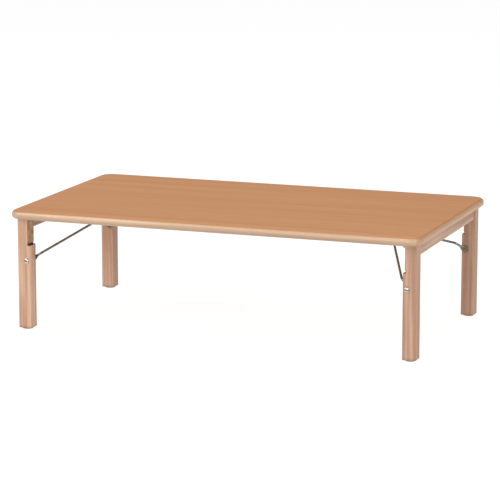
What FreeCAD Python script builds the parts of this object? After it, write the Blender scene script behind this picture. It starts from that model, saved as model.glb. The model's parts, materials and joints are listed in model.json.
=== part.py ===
"""Low folding table for small children: a lipped panel top on two hinged leg frames with wire stays.

Frame: millimetres, +X along the length, +Y to the back, +Z up, origin on the floor under the centre.
One corner (right back) and one end (right) are drawn; the other corners and the left end are mirrored.
"""
import FreeCAD
import Part
import math
import os
import Sketcher

doc = FreeCAD.newDocument("folding_table")

# Driving sizes
sheet = doc.addObject("Spreadsheet::Sheet", "sizes")
driving_sizes = {
    "table_length": 1050,
    "table_width": 600,
    "table_height": 300,
    "top_thickness": 21,
    "corner_radius": 35,
    "edge_round_top": 10,
    "edge_round_bottom": 9,
    "lipping_width": 18,
    "sheet_thickness": 2.6,
    "leg_side": 34,
    "leg_end_inset": 14,
    "leg_edge_inset": 26,
    "leg_edge_round": 3,
    "leg_foot_chamfer": 1.5,
    "gain_depth": 7,
    "gain_end_gap": 6,
    "apron_thickness": 18,
    "apron_height": 29,
    "apron_top_gap": 0.5,
    "apron_set_back": 3,
    "apron_edge_round": 2,
    "dowel_radius": 3,
    "dowel_depth": 15,
    "dowel_edge_distance": 8,
    "fit_clearance": 0.05,
    "hinge_leaf_length": 58,
    "hinge_leaf_width": 30,
    "hinge_leaf_thickness": 2.5,
    "hinge_knuckle_radius": 3.7,
    "hinge_knuckle_gap": 0.3,
    "hinge_pin_radius": 1.75,
    "hinge_pin_head_radius": 2.8,
    "hinge_pin_head_height": 1.5,
    "hinge_screw_first": 13,
    "hinge_screw_end": 6,
    "hinge_screw_stagger": 8,
    "screw_head_radius": 3.2,
    "screw_head_height": 1.7,
    "screw_shank_radius": 1.6,
    "screw_length": 14,
    "screw_recess_width": 0.8,
    "screw_recess_length": 3.8,
    "screw_recess_depth": 1.2,
    "glide_radius": 13,
    "glide_thickness": 3,
    "glide_edge_round": 1,
    "nail_head_radius": 3,
    "nail_head_height": 0.8,
    "nail_recess": 1.4,
    "nail_shank_radius": 1,
    "nail_length": 14,
    "pivot_inset": 10,
    "pivot_drop": 106.5,
    "bolt_radius": 3,
    "bolt_head_radius": 7,
    "bolt_head_height": 3.6,
    "bolt_head_round": 2.6,
    "bolt_slot_width": 1.4,
    "bolt_slot_depth": 1.3,
    "bolt_end_length": 1.5,
    "washer_radius": 7,
    "washer_thickness": 1.2,
    "nut_corner_radius": 5.8,
    "nut_thickness": 5,
    "side_play": 0.3,
    "wire_radius": 3,
    "wire_side_gap": 0.5,
    "eye_margin": 1.5,
    "eye_thickness": 3,
    "stay_reach": 110,
    "stay_rise": 79.5,
    "stay_knee_reach": 22.5,
    "stay_knee_rise": 14.7,
    "stay_bar_half": 32,
    "stay_knee_bend": 18,
    "stay_bar_bend": 20,
    "folded_bar_drop": 18,
    "catch_width": 28,
    "catch_wall": 6,
    "catch_mouth_length": 9,
    "catch_flange_length": 22,
    "catch_flange_thickness": 4,
    "catch_play": 0.6,
    "catch_screw_spacing": 16,
    "clip_width": 24,
    "clip_wall": 4,
    "clip_mouth_depth": 9,
    "clip_flare": 5,
    "clip_flange_width": 46,
}
for row, (alias, value) in enumerate(driving_sizes.items(), start=1):
    sheet.set(f"A{row}", alias)
    sheet.set(f"B{row}", str(value))
    sheet.setAlias(f"B{row}", alias)
doc.recompute()


def num(expression):
    """Value of an expression on the sheet, in millimetres or degrees."""
    result = sheet.evalExpression(str(expression))
    return float(getattr(result, "Value", result))


# Places worked out from the driving sizes
underside = "(sizes.table_height - sizes.top_thickness)"
half_length = "(sizes.table_length / 2)"
half_width = "(sizes.table_width / 2)"
leg_outer_x = f"({half_length} - sizes.leg_end_inset)"
leg_inner_x = f"({leg_outer_x} - sizes.leg_side)"
leg_outer_y = f"({half_width} - sizes.leg_edge_inset)"
leg_inner_y = f"({leg_outer_y} - sizes.leg_side)"
leg_middle_x = f"({leg_outer_x} - sizes.leg_side / 2)"
leg_middle_y = f"({leg_outer_y} - sizes.leg_side / 2)"
gain_face_x = f"({leg_inner_x} + sizes.gain_depth)"
pin_offset = "(sizes.hinge_knuckle_radius + sizes.hinge_knuckle_gap)"
pin_x = f"({gain_face_x} - {pin_offset})"
pin_z = f"({underside} - {pin_offset})"
gain_floor_z = f"({pin_z} - sizes.hinge_leaf_length - sizes.gain_end_gap)"
apron_top_z = f"({underside} - sizes.apron_top_gap)"
apron_bottom_z = f"({apron_top_z} - sizes.apron_height)"
apron_outer_x = f"({leg_outer_x} - sizes.apron_set_back)"
apron_inner_x = f"({apron_outer_x} - sizes.apron_thickness)"
apron_middle_x = f"({apron_outer_x} - sizes.apron_thickness / 2)"
pivot_x = f"({leg_inner_x} + sizes.pivot_inset)"
pivot_z = f"({underside} - sizes.pivot_drop)"
bar_x = f"({pivot_x} - sizes.stay_reach)"
bar_z = f"({pivot_z} + sizes.stay_rise)"
eye_middle_y = f"({leg_inner_y} - sizes.wire_side_gap - sizes.wire_radius)"
eye_half = "(sizes.eye_thickness / 2 + sizes.side_play)"
spacer_y = f"({eye_middle_y} + {eye_half})"
washer_y = f"({eye_middle_y} - {eye_half} - sizes.washer_thickness)"
nut_y = f"({washer_y} - sizes.nut_thickness)"

# Path of the stay's bar: as the leg frame folds a quarter turn, the stay turns back by back_turn as much
pivot_out = f"({pivot_x} - {pin_x})"
pivot_fall = f"({pin_z} - {pivot_z})"
stay_length = "sqrt(sizes.stay_reach ^ 2 + sizes.stay_rise ^ 2)"
folded_bar_z = f"({underside} - sizes.folded_bar_drop)"
folded_tilt = f"asin(({folded_bar_z} - {pin_z} + {pivot_out}) / {stay_length})"
folded_bar_x = f"({pin_x} - {pivot_fall} - {stay_length} * cos({folded_tilt}))"
back_turn = f"((atan(sizes.stay_rise / sizes.stay_reach) - {folded_tilt}) / 90 deg)"
mouth_slope = (f"(({pivot_out} + sizes.stay_reach * {back_turn})"
               f" / ({pivot_fall} + sizes.stay_rise * {back_turn}))")

plane_of_axis = {"X": "YZ_Plane", "Y": "XZ_Plane", "Z": "XY_Plane"}
axis_sign = {"X": 1, "Y": -1, "Z": 1}
x_mirror = FreeCAD.Vector(1, 0, 0)
y_mirror = FreeCAD.Vector(0, 1, 0)
along_x = FreeCAD.Rotation(FreeCAD.Vector(0, 1, 0), 90)
along_y = FreeCAD.Rotation(FreeCAD.Vector(1, 0, 0), -90)
upright = FreeCAD.Rotation()
tolerance = 1e-4
parts = {}


def keep(obj, label):
    """Name a finished sub-part."""
    obj.Label = label
    parts[label] = obj
    return obj


def new_sketch(body, name, axis, centre):
    """Sketch across an axis of the body, at a place along that axis."""
    sketch = body.newObject("Sketcher::SketchObject", name)
    plane = next(item for item in body.Origin.OriginFeatures if item.Role == plane_of_axis[axis])
    sketch.AttachmentSupport = [(plane, "")]
    sketch.MapMode = "FlatFace"
    sketch.setExpression("AttachmentOffset.Base.z", f"{axis_sign[axis]} * ({centre})")
    return sketch


def fix_point(sketch, geometry, position, point):
    """Tie a point of the sketch to two expressions."""
    for kind, expression in zip(("DistanceX", "DistanceY"), point):
        datum = Sketcher.Constraint(kind, -1, 1, geometry, position, num(expression))
        index = sketch.addConstraint(datum)
        sketch.setExpression(f"Constraints[{index}]", str(expression))


def draw_outline(sketch, points):
    """Closed outline of straight lines through points given as expressions."""
    count = len(points)
    corners = [FreeCAD.Vector(num(x), num(y), 0) for x, y in points]
    first = sketch.GeometryCount
    for i in range(count):
        sketch.addGeometry(Part.LineSegment(corners[i], corners[(i + 1) % count]), False)
    for i in range(count):
        joint = Sketcher.Constraint("Coincident", first + i, 2, first + (i + 1) % count, 1)
        sketch.addConstraint(joint)
    for i in range(count):
        fix_point(sketch, first + i, 1, points[i])


def draw_circle(sketch, x, y, radius):
    """Circle with its centre and radius given as expressions."""
    centre = FreeCAD.Vector(num(x), num(y), 0)
    circle = sketch.addGeometry(Part.Circle(centre, FreeCAD.Vector(0, 0, 1), num(radius)), False)
    fix_point(sketch, circle, 3, (x, y))
    index = sketch.addConstraint(Sketcher.Constraint("Radius", circle, num(radius)))
    sketch.setExpression(f"Constraints[{index}]", str(radius))


def rectangle(x_low, x_high, y_low, y_high):
    """Corner points of a rectangle."""
    return [(x_low, y_low), (x_high, y_low), (x_high, y_high), (x_low, y_high)]


def extruded(body, kind, name, sketch, depth):
    """Pad or Pocket of a sketch, evenly to both sides of it."""
    feature = body.newObject(kind, name)
    feature.Profile = sketch
    feature.SideType = "Symmetric"
    feature.setExpression("Length", depth)
    doc.recompute()
    return feature


def prism(name, axis, points, low, high):
    """Body with a straight-sided outline padded from one place to another along an axis."""
    body = doc.addObject("PartDesign::Body", name)
    sketch = new_sketch(body, f"{name}_outline", axis, f"(({low}) + ({high})) / 2")
    draw_outline(sketch, points)
    extruded(body, "PartDesign::Pad", f"{name}_pad", sketch, f"({high}) - ({low})")
    return body


def pocket(body, name, axis, shapes, low, high):
    """Cut outlines or circles from a body, from one place to another along an axis."""
    before = body.Shape.Volume
    sketch = new_sketch(body, f"{name}_outline", axis, f"(({low}) + ({high})) / 2")
    for shape in shapes:
        if isinstance(shape, tuple):
            draw_circle(sketch, *shape)
        else:
            draw_outline(sketch, shape)
    extruded(body, "PartDesign::Pocket", name, sketch, f"({high}) - ({low})")
    if body.Shape.Volume >= before:
        raise RuntimeError(f"{name} cuts nothing")


def add_pad(body, name, axis, shapes, low, high):
    """Add outlines or circles to a body, from one place to another along an axis."""
    sketch = new_sketch(body, f"{name}_outline", axis, f"(({low}) + ({high})) / 2")
    for shape in shapes:
        if isinstance(shape, tuple):
            draw_circle(sketch, *shape)
        else:
            draw_outline(sketch, shape)
    extruded(body, "PartDesign::Pad", name, sketch, f"({high}) - ({low})")


def dress(body, kind, name, prop, size, chosen):
    """Fillet or chamfer the edges of the body that a test picks."""
    base = body.Tip
    edges = [f"Edge{i}" for i, edge in enumerate(base.Shape.Edges, start=1) if chosen(edge)]
    feature = body.newObject(kind, name)
    feature.Base = (base, edges)
    feature.setExpression(prop, size)
    doc.recompute()
    return feature


def turned(name, profile):
    """Body of revolution about its own Z axis, from (radius, height) points."""
    body = doc.addObject("PartDesign::Body", name)
    sketch = new_sketch(body, f"{name}_profile", "Y", "0")
    draw_outline(sketch, profile)
    doc.recompute()
    turn = body.newObject("PartDesign::Revolution", f"{name}_turn")
    turn.Profile = sketch
    turn.ReferenceAxis = (sketch, ["V_Axis"])
    turn.Angle = 360
    doc.recompute()
    return body


def place(obj, x, y, z, rotation=upright):
    """Set an object's place from expressions, and its direction."""
    obj.Placement = FreeCAD.Placement(FreeCAD.Vector(), rotation)
    for letter, expression in zip("xyz", (x, y, z)):
        obj.setExpression(f"Placement.Base.{letter}", str(expression))
    return obj


def cylinder(name, radius, length, x, y, z, rotation=upright):
    """Round bar from a point along a direction."""
    obj = doc.addObject("Part::Cylinder", name)
    obj.setExpression("Radius", str(radius))
    obj.setExpression("Height", str(length))
    return place(obj, x, y, z, rotation)


def cut(name, base, tool):
    """One object less another."""
    obj = doc.addObject("Part::Cut", name)
    obj.Base = base
    obj.Tool = tool
    doc.recompute()
    return obj


def group(name, items):
    """Several solids as one object."""
    obj = doc.addObject("Part::Compound", name)
    obj.Links = items
    doc.recompute()
    return obj


def mirrored(source, name, normal):
    """Mirror image through the middle of the table."""
    obj = doc.addObject("Part::Mirroring", name)
    obj.Source = source
    obj.Normal = normal
    obj.Base = FreeCAD.Vector()
    doc.recompute()
    return obj


def at_four_corners(master, piece):
    """Keep a right back piece and its three mirror images; returns them by corner."""
    corners = {"right_back": keep(master, f"right_back_{piece}")}
    for corner, source, normal in (("right_front", "right_back", y_mirror),
                                   ("left_back", "right_back", x_mirror),
                                   ("left_front", "right_front", x_mirror)):
        label = f"{corner}_{piece}"
        corners[corner] = keep(mirrored(corners[source], f"{label}_mirror", normal), label)
    return corners


def at_both_ends(master, piece):
    """Keep a right end piece and its mirror image at the left end."""
    keep(master, f"right_{piece}")
    keep(mirrored(master, f"left_{piece}_mirror", x_mirror), f"left_{piece}")


def as_pairs(master, piece):
    """Keep a right back piece with its front image as one group at each end."""
    front = mirrored(master, f"{piece}_front_mirror", y_mirror)
    at_both_ends(group(f"{piece}_pair", [master, front]), piece)


def copies(name, shape, spots, rotation):
    """Copies of one shape at points given as expressions, turned one way."""
    placed = []
    for spot in spots:
        copy = shape.copy()
        copy.Placement = FreeCAD.Placement(FreeCAD.Vector(*[num(value) for value in spot]), rotation)
        placed.append(copy)
    obj = doc.addObject("Part::Feature", name)
    obj.Shape = Part.makeCompound(placed)
    return obj


def round_hole(radius, depth):
    """Tool for a plain hole along +Z."""
    return Part.makeCylinder(num(radius), num(depth))


def is_upright(edge):
    """Straight edge along Z."""
    straight = edge.Curve.TypeId == "Part::GeomLine"
    return straight and abs(edge.tangentAt(edge.FirstParameter).z) > 1 - tolerance


def lies_at(height):
    """Test for edges that lie flat at one height."""
    level = num(height)
    return lambda edge: max(abs(edge.BoundBox.ZMin - level), abs(edge.BoundBox.ZMax - level)) < tolerance


# Wood screw, head at its own origin and point along +Z, and the holes that it needs
screw_blank = turned("screw_blank", [
    ("0", "0"),
    ("sizes.screw_head_radius", "0"),
    ("sizes.screw_shank_radius", "sizes.screw_head_height"),
    ("sizes.screw_shank_radius", "sizes.screw_length - 2 * sizes.screw_shank_radius"),
    ("0", "sizes.screw_length"),
])
recess_half = "(sizes.screw_recess_length / 2)"
thin_half = "(sizes.screw_recess_width / 2)"
for name, half_x, half_y in (("screw_recess_across", recess_half, thin_half),
                             ("screw_recess_along", thin_half, recess_half)):
    slot = rectangle(f"-{half_x}", half_x, f"-{half_y}", half_y)
    pocket(screw_blank, name, "Z", [slot], "0", "sizes.screw_recess_depth")
screw_shape = screw_blank.Shape
sunk_hole_shape = Part.makeCone(num("sizes.screw_head_radius + sizes.fit_clearance"),
                                num("sizes.screw_shank_radius + sizes.fit_clearance"),
                                num("sizes.screw_head_height"))
sunk_hole_shape = sunk_hole_shape.fuse(round_hole("sizes.screw_shank_radius + sizes.fit_clearance",
                                                  "sizes.screw_length"))
pilot_shape = round_hole("sizes.screw_shank_radius + sizes.fit_clearance",
                         "sizes.screw_length + sizes.screw_shank_radius")

# Places of the hinge screws on the two leaves, and of the screws of catch and clip
hinge_pitch = "((sizes.hinge_leaf_length - sizes.hinge_screw_first - sizes.hinge_screw_end) / 2)"
hinge_steps = [(f"(sizes.hinge_screw_first + {i} * {hinge_pitch})",
                f"({leg_middle_y} + {(-1) ** i} * sizes.hinge_screw_stagger)") for i in range(3)]
top_leaf_face_z = f"({underside} - sizes.hinge_leaf_thickness)"
leg_leaf_face_x = f"({gain_face_x} - sizes.hinge_leaf_thickness)"
top_leaf_spots = [(f"{pin_x} - {step}", y, top_leaf_face_z) for step, y in hinge_steps]
leg_leaf_spots = [(leg_leaf_face_x, y, f"{pin_z} - {step}") for step, y in hinge_steps]
flange_face_z = f"({underside} - sizes.catch_flange_thickness)"
bar_room = "(sizes.wire_radius + sizes.catch_play)"
catch_back_x = f"({bar_x} + {bar_room} + sizes.catch_wall)"
catch_flange_x = f"({catch_back_x} + sizes.catch_flange_length)"
catch_spots = [(f"({catch_back_x} + sizes.catch_flange_length / 2)",
                f"{side} * sizes.catch_screw_spacing / 2", flange_face_z) for side in (-1, 1)]
clip_ear_y = "((sizes.clip_width + sizes.clip_flange_width) / 4)"
clip_spots = [(folded_bar_x, f"{side} * {clip_ear_y}", flange_face_z) for side in (-1, 1)]

# Panel top: core board, face sheet, under sheet and four mitred lippings
core_top_z = "(sizes.table_height - sizes.sheet_thickness)"
core_bottom_z = f"({underside} + sizes.sheet_thickness)"
core_half_x = f"({half_length} - sizes.lipping_width)"
core_half_y = f"({half_width} - sizes.lipping_width)"
top_right_holes = copies("top_hinge_pilots_right", pilot_shape, top_leaf_spots, upright)
top_right_pair = group("top_hinge_pilots_pair",
                       [top_right_holes, mirrored(top_right_holes, "top_hinge_pilots_front", y_mirror)])
fitting_pilots = copies("fitting_pilots_right", pilot_shape, catch_spots + clip_spots, upright)
right_pilots = group("right_pilots", [top_right_pair, fitting_pilots])
all_pilots = group("all_pilots", [right_pilots, mirrored(right_pilots, "left_pilots", x_mirror)])

core_outline = rectangle(f"-{core_half_x}", core_half_x, f"-{core_half_y}", core_half_y)
core_blank = prism("core_blank", "Z", core_outline, core_bottom_z, core_top_z)
keep(cut("core_board_drilled", core_blank, all_pilots), "core_board")


def rounded_panel(name, inset, low, high):
    """Panel with the table's rounded corners, set in from its edge."""
    outline = rectangle(f"-({half_length} - {inset})", f"({half_length} - {inset})",
                        f"-({half_width} - {inset})", f"({half_width} - {inset})")
    body = prism(name, "Z", outline, low, high)
    dress(body, "PartDesign::Fillet", f"{name}_corners", "Radius",
          f"sizes.corner_radius - {inset}", is_upright)
    return body


face_sheet = rounded_panel("face_sheet_panel", "sizes.edge_round_top", core_top_z, "sizes.table_height")
keep(face_sheet, "face_sheet")
under_blank = rounded_panel("under_sheet_panel", "sizes.edge_round_bottom", underside, core_bottom_z)
keep(cut("under_sheet_drilled", under_blank, all_pilots), "under_sheet")

lipping_ring = rounded_panel("lipping_ring", "0", underside, "sizes.table_height")
dress(lipping_ring, "PartDesign::Fillet", "lipping_top_round", "Radius", "sizes.edge_round_top",
      lies_at("sizes.table_height"))
dress(lipping_ring, "PartDesign::Fillet", "lipping_bottom_round", "Radius", "sizes.edge_round_bottom",
      lies_at(underside))
pocket(lipping_ring, "lipping_inside", "Z", [core_outline], underside, "sizes.table_height")
lipping_rebated = cut("lipping_rebated_top", lipping_ring, face_sheet)
lipping_rebated = cut("lipping_rebated_bottom", lipping_rebated, under_blank)

mitre = "sizes.lipping_width"
lipping_outlines = {
    "back_lipping": [(f"-{half_length}", half_width), (half_length, half_width),
                     (f"{half_length} - {mitre}", f"{half_width} - {mitre}"),
                     (f"-({half_length} - {mitre})", f"{half_width} - {mitre}")],
    "right_lipping": [(half_length, f"-{half_width}"), (half_length, half_width),
                      (f"{half_length} - {mitre}", f"{half_width} - {mitre}"),
                      (f"{half_length} - {mitre}", f"-({half_width} - {mitre})")],
}
for label, outline in lipping_outlines.items():
    wedge = prism(f"{label}_mitre", "Z", outline, underside, "sizes.table_height")
    strip = doc.addObject("Part::Common", f"{label}_strip")
    strip.Base = lipping_rebated
    strip.Tool = wedge
    doc.recompute()
    keep(strip, label)
keep(mirrored(parts["back_lipping"], "front_lipping_mirror", y_mirror), "front_lipping")
keep(mirrored(parts["right_lipping"], "left_lipping_mirror", x_mirror), "left_lipping")

# Butt hinges: one leaf under the top, one leaf in the leg's gain, and the pin between them
leaf_low_y = f"({leg_middle_y} - sizes.hinge_leaf_width / 2)"
leaf_high_y = f"({leg_middle_y} + sizes.hinge_leaf_width / 2)"
knuckle_low_y = f"({leg_middle_y} - sizes.hinge_leaf_width / 6)"
knuckle_high_y = f"({leg_middle_y} + sizes.hinge_leaf_width / 6)"
half_gap = "(sizes.hinge_knuckle_gap / 2)"
leaf_start = "(sizes.hinge_knuckle_radius + 2 * sizes.hinge_knuckle_gap)"
knuckle = (pin_x, pin_z, "sizes.hinge_knuckle_radius")
pin_hole = (pin_x, pin_z, "sizes.hinge_pin_radius + sizes.fit_clearance")

top_leaf = prism("top_leaf_blank", "Y",
                 rectangle(f"{pin_x} - sizes.hinge_leaf_length", f"{pin_x} - {leaf_start}",
                           top_leaf_face_z, underside), leaf_low_y, leaf_high_y)
top_strap = rectangle(f"{pin_x} - {leaf_start}", pin_x, top_leaf_face_z, underside)
for side, low, high in (("inner", leaf_low_y, f"{knuckle_low_y} - {half_gap}"),
                        ("outer", f"{knuckle_high_y} + {half_gap}", leaf_high_y)):
    add_pad(top_leaf, f"top_leaf_strap_{side}", "Y", [top_strap], low, high)
    add_pad(top_leaf, f"top_leaf_knuckle_{side}", "Y", [knuckle], low, high)
pocket(top_leaf, "top_leaf_pin_hole", "Y", [pin_hole], leaf_low_y, leaf_high_y)
top_leaf_sinks = copies("top_leaf_sinks", sunk_hole_shape, top_leaf_spots, upright)
at_four_corners(cut("top_leaf_sunk", top_leaf, top_leaf_sinks), "hinge_top_leaf")

leg_leaf = prism("leg_leaf_blank", "Y",
                 rectangle(leg_leaf_face_x, gain_face_x, f"{pin_z} - sizes.hinge_leaf_length",
                           f"{pin_z} - {leaf_start}"), leaf_low_y, leaf_high_y)
middle_low = f"{knuckle_low_y} + {half_gap}"
middle_high = f"{knuckle_high_y} - {half_gap}"
leg_strap = rectangle(leg_leaf_face_x, gain_face_x, f"{pin_z} - {leaf_start}", pin_z)
add_pad(leg_leaf, "leg_leaf_strap", "Y", [leg_strap], middle_low, middle_high)
add_pad(leg_leaf, "leg_leaf_knuckle", "Y", [knuckle], middle_low, middle_high)
pocket(leg_leaf, "leg_leaf_pin_hole", "Y", [pin_hole], leaf_low_y, leaf_high_y)
leg_leaf_sinks = copies("leg_leaf_sinks", sunk_hole_shape, leg_leaf_spots, along_x)
at_four_corners(cut("leg_leaf_sunk", leg_leaf, leg_leaf_sinks), "hinge_leg_leaf")

hinge_pin = turned("hinge_pin_blank", [
    ("0", "-sizes.hinge_pin_head_height"),
    ("sizes.hinge_pin_head_radius", "-sizes.hinge_pin_head_height"),
    ("sizes.hinge_pin_head_radius", "0"),
    ("sizes.hinge_pin_radius", "0"),
    ("sizes.hinge_pin_radius", "sizes.hinge_leaf_width"),
    ("sizes.hinge_pin_head_radius", "sizes.hinge_leaf_width"),
    ("sizes.hinge_pin_head_radius", "sizes.hinge_leaf_width + sizes.hinge_pin_head_height"),
    ("0", "sizes.hinge_leaf_width + sizes.hinge_pin_head_height"),
])
at_four_corners(place(hinge_pin, pin_x, leaf_low_y, pin_z, along_y), "hinge_pin")
as_pairs(copies("top_leaf_screws", screw_shape, top_leaf_spots, upright), "hinge_top_screws")
as_pairs(copies("leg_leaf_screws", screw_shape, leg_leaf_spots, along_x), "hinge_leg_screws")

# Legs: square, eased edges, a gain for the closed hinge, and holes for pivot, dowels, screws and nail
leg_blank = prism("leg_blank", "Z", rectangle(leg_inner_x, leg_outer_x, leg_inner_y, leg_outer_y),
                  "sizes.glide_thickness", underside)
dress(leg_blank, "PartDesign::Fillet", "leg_eased_edges", "Radius", "sizes.leg_edge_round", is_upright)
dress(leg_blank, "PartDesign::Chamfer", "leg_foot_bevel", "Size", "sizes.leg_foot_chamfer",
      lies_at("sizes.glide_thickness"))
pocket(leg_blank, "leg_gain", "Y", [rectangle(leg_inner_x, gain_face_x, gain_floor_z, underside)],
       leg_inner_y, leg_outer_y)
pivot_hole = (pivot_x, pivot_z, "sizes.bolt_radius + sizes.fit_clearance")
pocket(leg_blank, "leg_pivot_hole", "Y", [pivot_hole], leg_inner_y, leg_outer_y)

dowel_heights = [f"({apron_bottom_z} + sizes.dowel_edge_distance)",
                 f"({apron_top_z} - sizes.dowel_edge_distance)"]
dowel_spots = [(apron_middle_x, f"({leg_inner_y} - sizes.dowel_depth)", z) for z in dowel_heights]
dowel_length = "(2 * sizes.dowel_depth)"
dowel_hole = round_hole("sizes.dowel_radius + sizes.fit_clearance", f"{dowel_length} + sizes.side_play")
dowel_holes = copies("dowel_holes", dowel_hole, dowel_spots, along_y)
dowel_holes_pair = group("dowel_holes_pair",
                         [dowel_holes, mirrored(dowel_holes, "dowel_holes_front", y_mirror)])
leg_screw_pilots = copies("leg_screw_pilots", pilot_shape, leg_leaf_spots, along_x)
nail_z = "sizes.nail_recess - sizes.nail_head_height"
nail_hole = cylinder("nail_hole", "sizes.nail_shank_radius + sizes.fit_clearance",
                     "sizes.nail_length + sizes.nail_recess", leg_middle_x, leg_middle_y, "0")
leg_tools = group("leg_tools", [dowel_holes, leg_screw_pilots, nail_hole])
at_four_corners(cut("leg_drilled", leg_blank, leg_tools), "leg")

# Aprons between the legs of each end, with their dowels
apron_blank = prism("apron_blank", "Y",
                    rectangle(apron_inner_x, apron_outer_x, apron_bottom_z, apron_top_z),
                    f"-{leg_inner_y}", leg_inner_y)


def is_apron_arris(edge):
    """Long lower edges of the apron."""
    low = abs(edge.BoundBox.ZMax - num(apron_bottom_z)) < tolerance
    return low and edge.Length > num(leg_inner_y)


dress(apron_blank, "PartDesign::Fillet", "apron_eased_edges", "Radius", "sizes.apron_edge_round",
      is_apron_arris)
at_both_ends(cut("apron_drilled", apron_blank, dowel_holes_pair), "apron")
dowel_shape = round_hole("sizes.dowel_radius", dowel_length)
as_pairs(copies("dowels", dowel_shape, dowel_spots, along_y), "apron_dowels")

# Foot glides and their nails
glide = turned("glide_blank", [
    ("0", "sizes.nail_recess"),
    ("sizes.nail_head_radius + sizes.side_play", "sizes.nail_recess"),
    ("sizes.nail_head_radius + sizes.side_play", "0"),
    ("sizes.glide_radius", "0"),
    ("sizes.glide_radius", "sizes.glide_thickness"),
    ("0", "sizes.glide_thickness"),
])


def is_glide_rim(edge):
    """Outer lower edge of the glide."""
    outer = edge.BoundBox.XMax > num("sizes.glide_radius") - tolerance
    return outer and edge.BoundBox.ZMax < tolerance


dress(glide, "PartDesign::Fillet", "glide_rim", "Radius", "sizes.glide_edge_round", is_glide_rim)
place(glide, leg_middle_x, leg_middle_y, "0")
at_four_corners(cut("glide_drilled", glide, nail_hole), "foot_glide")
nail = turned("nail_blank", [
    ("0", "0"),
    ("sizes.nail_head_radius", "0"),
    ("sizes.nail_head_radius", "sizes.nail_head_height"),
    ("sizes.nail_shank_radius", "sizes.nail_head_height"),
    ("sizes.nail_shank_radius", "sizes.nail_length - sizes.nail_shank_radius"),
    ("0", "sizes.nail_length"),
])
as_pairs(place(nail, leg_middle_x, leg_middle_y, nail_z), "glide_nails")

# Pivot bolts of the stays: slotted round head outside the leg, washers and nut inside
bolt_length = f"({leg_outer_y} - {nut_y} + sizes.bolt_end_length)"
bolt = turned("bolt_blank", [
    ("0", f"-{bolt_length}"),
    ("sizes.bolt_radius", f"-{bolt_length}"),
    ("sizes.bolt_radius", "0"),
    ("sizes.bolt_head_radius", "0"),
    ("sizes.bolt_head_radius", "sizes.bolt_head_height"),
    ("0", "sizes.bolt_head_height"),
])
dress(bolt, "PartDesign::Fillet", "bolt_dome", "Radius", "sizes.bolt_head_round",
      lies_at("sizes.bolt_head_height"))
slot_half = "(sizes.bolt_slot_width / 2)"
slot_outline = rectangle("-sizes.bolt_head_radius", "sizes.bolt_head_radius", f"-{slot_half}", slot_half)
pocket(bolt, "bolt_slot", "Z", [slot_outline], "sizes.bolt_head_height - sizes.bolt_slot_depth",
       "sizes.bolt_head_height")
as_pairs(place(bolt, pivot_x, leg_outer_y, pivot_z, along_y), "stay_bolts")


def ring_at(name, thickness, y):
    """Washer round the pivot bolt, from a place along Y."""
    bore = "sizes.bolt_radius + sizes.fit_clearance"
    disc = cylinder(f"{name}_disc", "sizes.washer_radius", thickness, pivot_x, y, pivot_z, along_y)
    hole = cylinder(f"{name}_hole", bore, thickness, pivot_x, y, pivot_z, along_y)
    return cut(name, disc, hole)


washers = [ring_at("spacer", f"{leg_inner_y} - {spacer_y}", spacer_y),
           ring_at("washer", "sizes.washer_thickness", washer_y)]
as_pairs(group("washers", washers), "stay_washers")
nut_blank = doc.addObject("Part::Prism", "nut_blank")
nut_blank.Polygon = 6
nut_blank.setExpression("Circumradius", "sizes.nut_corner_radius")
nut_blank.setExpression("Height", "sizes.nut_thickness")
place(nut_blank, pivot_x, nut_y, pivot_z, along_y)
nut_hole = cylinder("nut_hole", "sizes.bolt_radius + sizes.fit_clearance", "sizes.nut_thickness",
                    pivot_x, nut_y, pivot_z, along_y)
as_pairs(cut("nut_bored", nut_blank, nut_hole), "stay_nuts")


def bent_wire(points, bends):
    """Path of straight runs joined by tangent arcs, one bend radius for each inner point."""
    edges = []
    start = points[0]
    for before, corner, after, radius in zip(points, points[1:], points[2:], bends):
        to_before = (before - corner).normalize()
        to_after = (after - corner).normalize()
        half_angle = to_before.getAngle(to_after) / 2
        setback = radius / math.tan(half_angle)
        middle = (to_before + to_after).normalize()
        arc_start = corner + to_before * setback
        arc_end = corner + to_after * setback
        arc_middle = corner + middle * (radius / math.sin(half_angle) - radius)
        edges.append(Part.makeLine(start, arc_start))
        edges.append(Part.Arc(arc_start, arc_middle, arc_end).toShape())
        start = arc_end
    edges.append(Part.makeLine(start, points[-1]))
    return Part.Wire(edges)


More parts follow.
